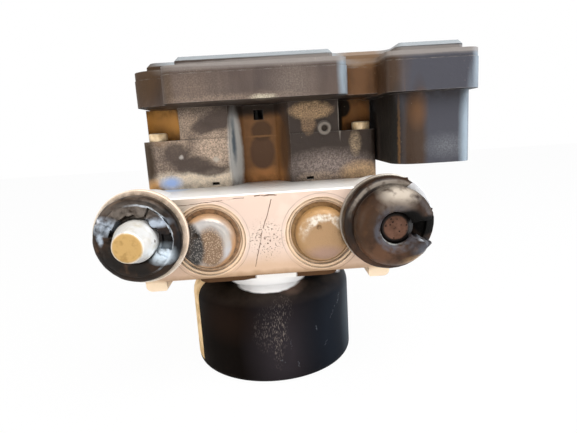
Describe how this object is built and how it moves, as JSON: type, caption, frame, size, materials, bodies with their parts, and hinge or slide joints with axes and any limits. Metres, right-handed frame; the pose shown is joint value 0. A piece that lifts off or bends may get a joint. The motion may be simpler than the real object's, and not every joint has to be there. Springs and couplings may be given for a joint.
{
  "type": "abs brake module",
  "caption": "Anti-lock brake hydraulic unit: aluminium valve block with a pump motor below, a control unit with a plug socket above and torn rubber mounts in front.",
  "frame": {"origin": "centre of the motor can's flat end face", "axes": "+Z from the motor up to the control unit, +X towards the plug socket, -Y towards the rubber mounts"},
  "size_m": [0.1606, 0.116, 0.1472],
  "materials": {
    "housing_plastic": "satin",
    "mount_rubber": "matte",
    "seal_rubber": "matte",
    "board_laminate": "satin",
    "contact_brass": "satin",
    "plated_screw": "satin",
    "coil_plastic": "satin",
    "valve_steel": "satin",
    "block_aluminium": "machined",
    "cap_steel": "satin",
    "piston_aluminium": "satin",
    "spring_steel": "satin",
    "pin_steel": "satin",
    "washer_steel": "satin",
    "can_paint": "gloss",
    "magnet_ferrite": "matte",
    "copper": "satin",
    "core_steel": "satin",
    "bush_bronze": "satin",
    "brush_carbon": "matte",
    "bearing_steel": "polished"
  },
  "bodies": {
    "unit": {"accumulator_cap_left": "cap_steel", "accumulator_cap_right": "cap_steel", "accumulator_spring_left": "spring_steel", "accumulator_spring_right": "spring_steel", "bearing_outer_race": "bearing_steel", "brush_plate": "coil_plastic", "brush_spring_left": "spring_steel", "brush_spring_right": "spring_steel", "circuit_board": "board_laminate", "coil_carrier": "coil_plastic", "connector_pins": "contact_brass", "ecu_cover": "housing_plastic", "ecu_housing": "housing_plastic", "ecu_screws": "plated_screw", "housing_seal": "seal_rubber", "isolator_left": "mount_rubber", "isolator_right": "mount_rubber", "isolator_washers": "washer_steel", "motor_can": "can_paint", "motor_magnets": "magnet_ferrite", "motor_screws": "plated_screw", "mounting_pin_left": "pin_steel", "mounting_pin_right": "pin_steel", "pump_plugs": "plated_screw", "pump_sleeve_left": "bearing_steel", "pump_sleeve_right": "bearing_steel", "pump_spring_left": "spring_steel", "pump_spring_right": "spring_steel", "rear_bush": "bush_bronze", "valve_block": "block_aluminium", "valve_body_1": "valve_steel", "valve_body_2": "valve_steel", "valve_body_3": "valve_steel", "valve_body_4": "valve_steel", "valve_body_5": "valve_steel", "valve_body_6": "valve_steel", "valve_body_7": "valve_steel", "valve_body_8": "valve_steel"},
    "rotor": {"motor_shaft": "bearing_steel", "rotor_core": "core_steel", "rotor_winding": "copper", "commutator": "copper", "bearing_inner_race": "bearing_steel"},
    "eccentric_ring": {"eccentric_ring": "bearing_steel"},
    "pump_plunger_left": {"pump_plunger_left": "bearing_steel"},
    "accumulator_piston_left": {"accumulator_piston_left": "piston_aluminium", "accumulator_seal_left": "seal_rubber"},
    "brush_left": {"brush_left": "brush_carbon"},
    "pump_plunger_right": {"pump_plunger_right": "bearing_steel"},
    "accumulator_piston_right": {"accumulator_piston_right": "piston_aluminium", "accumulator_seal_right": "seal_rubber"},
    "brush_right": {"brush_right": "brush_carbon"},
    "valve_armature_1": {"valve_armature_1": "valve_steel"},
    "valve_armature_2": {"valve_armature_2": "valve_steel"},
    "valve_armature_3": {"valve_armature_3": "valve_steel"},
    "valve_armature_4": {"valve_armature_4": "valve_steel"},
    "valve_armature_5": {"valve_armature_5": "valve_steel"},
    "valve_armature_6": {"valve_armature_6": "valve_steel"},
    "valve_armature_7": {"valve_armature_7": "valve_steel"},
    "valve_armature_8": {"valve_armature_8": "valve_steel"}
  },
  "joints": [
    {"name": "rotor_spin", "type": "hinge", "parent": "unit", "child": "rotor", "pos_m": [0, 0, 0.03], "axis": [0, 0, 1], "continuous": true},
    {"name": "ring_roll", "type": "hinge", "parent": "rotor", "child": "eccentric_ring", "pos_m": [0.00075, 0, 0.068], "axis": [0, 0, 1], "continuous": true},
    {"name": "plunger_left_stroke", "type": "slide", "parent": "unit", "child": "pump_plunger_left", "axis": [-1, 0, 0], "range_m": [0, 0.0015], "stiffness_N_per_m": 2000, "deforming": ["pump_spring_left"]},
    {"name": "accumulator_left_stroke", "type": "slide", "parent": "unit", "child": "accumulator_piston_left", "axis": [0, -1, 0], "range_m": [0, 0.007], "stiffness_N_per_m": 1500, "deforming": ["accumulator_spring_left"]},
    {"name": "brush_left_slide", "type": "slide", "parent": "unit", "child": "brush_left", "axis": [-1, 0, 0], "range_m": [0, 0.001], "stiffness_N_per_m": 300, "deforming": ["brush_spring_left"]},
    {"name": "plunger_right_stroke", "type": "slide", "parent": "unit", "child": "pump_plunger_right", "axis": [1, 0, 0], "range_m": [0, 0.0015], "stiffness_N_per_m": 2000, "deforming": ["pump_spring_right"]},
    {"name": "accumulator_right_stroke", "type": "slide", "parent": "unit", "child": "accumulator_piston_right", "axis": [0, -1, 0], "range_m": [0, 0.007], "stiffness_N_per_m": 1500, "deforming": ["accumulator_spring_right"]},
    {"name": "brush_right_slide", "type": "slide", "parent": "unit", "child": "brush_right", "axis": [1, 0, 0], "range_m": [0, 0.001], "stiffness_N_per_m": 300, "deforming": ["brush_spring_right"]},
    {"name": "valve_1_stroke", "type": "slide", "parent": "unit", "child": "valve_armature_1", "axis": [0, 0, -1], "range_m": [0, 0.0005], "stiffness_N_per_m": 1500},
    {"name": "valve_2_stroke", "type": "slide", "parent": "unit", "child": "valve_armature_2", "axis": [0, 0, -1], "range_m": [0, 0.0005], "stiffness_N_per_m": 1500},
    {"name": "valve_3_stroke", "type": "slide", "parent": "unit", "child": "valve_armature_3", "axis": [0, 0, -1], "range_m": [0, 0.0005], "stiffness_N_per_m": 1500},
    {"name": "valve_4_stroke", "type": "slide", "parent": "unit", "child": "valve_armature_4", "axis": [0, 0, -1], "range_m": [0, 0.0005], "stiffness_N_per_m": 1500},
    {"name": "valve_5_stroke", "type": "slide", "parent": "unit", "child": "valve_armature_5", "axis": [0, 0, 1], "range_m": [0, 0.0005], "stiffness_N_per_m": 1500},
    {"name": "valve_6_stroke", "type": "slide", "parent": "unit", "child": "valve_armature_6", "axis": [0, 0, 1], "range_m": [0, 0.0005], "stiffness_N_per_m": 1500},
    {"name": "valve_7_stroke", "type": "slide", "parent": "unit", "child": "valve_armature_7", "axis": [0, 0, 1], "range_m": [0, 0.0005], "stiffness_N_per_m": 1500},
    {"name": "valve_8_stroke", "type": "slide", "parent": "unit", "child": "valve_armature_8", "axis": [0, 0, 1], "range_m": [0, 0.0005], "stiffness_N_per_m": 1500}
  ],
  "couplings": [
    {"joint": "ring_roll", "follows": "rotor_spin", "ratio": -1}
  ]
}
